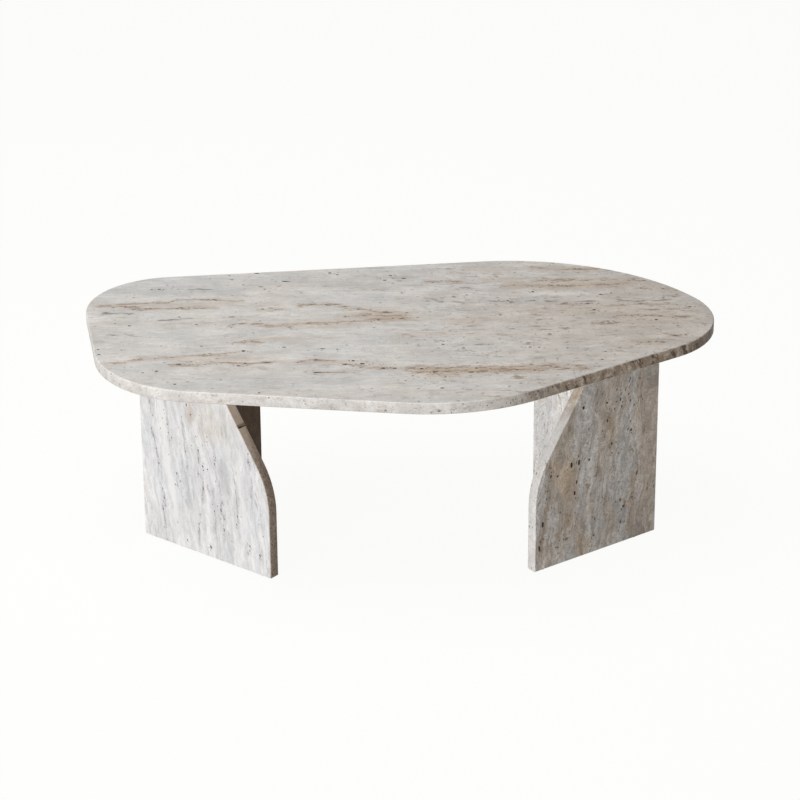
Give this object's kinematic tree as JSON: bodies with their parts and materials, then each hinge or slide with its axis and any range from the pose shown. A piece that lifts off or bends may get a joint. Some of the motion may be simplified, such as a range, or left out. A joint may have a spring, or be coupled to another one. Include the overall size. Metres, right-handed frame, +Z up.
{
  "type": "coffee table",
  "caption": "Low travertine coffee table: a softly rounded, uneven polygonal slab on V-shaped bases of mitred stone fins, cut away in an eased slope at the front.",
  "frame": {"origin": "on the floor, under the middle of the top's bounding box", "axes": "+Z up, +X along the top's long way towards its rounded point, +Y towards the long straight back edge"},
  "size_m": [1.128, 0.6628, 0.4],
  "materials": {
    "travertine": "honed, with open pits and veins",
    "pin_steel": "drawn stainless rod",
    "cushion_pad": "clear soft pad",
    "glide_nylon": "matt nylon"
  },
  "bodies": {
    "root": {"tabletop": "travertine", "left_front_fin": "travertine", "left_rear_fin": "travertine", "right_front_fin": "travertine", "right_rear_fin": "travertine", "left_mitre_dowels": "pin_steel", "right_mitre_dowels": "pin_steel", "left_locating_pins": "pin_steel", "right_locating_pins": "pin_steel", "left_cushion_pads": "cushion_pad", "right_cushion_pads": "cushion_pad", "left_glides": "glide_nylon", "right_glides": "glide_nylon"}
  },
  "joints": []
}
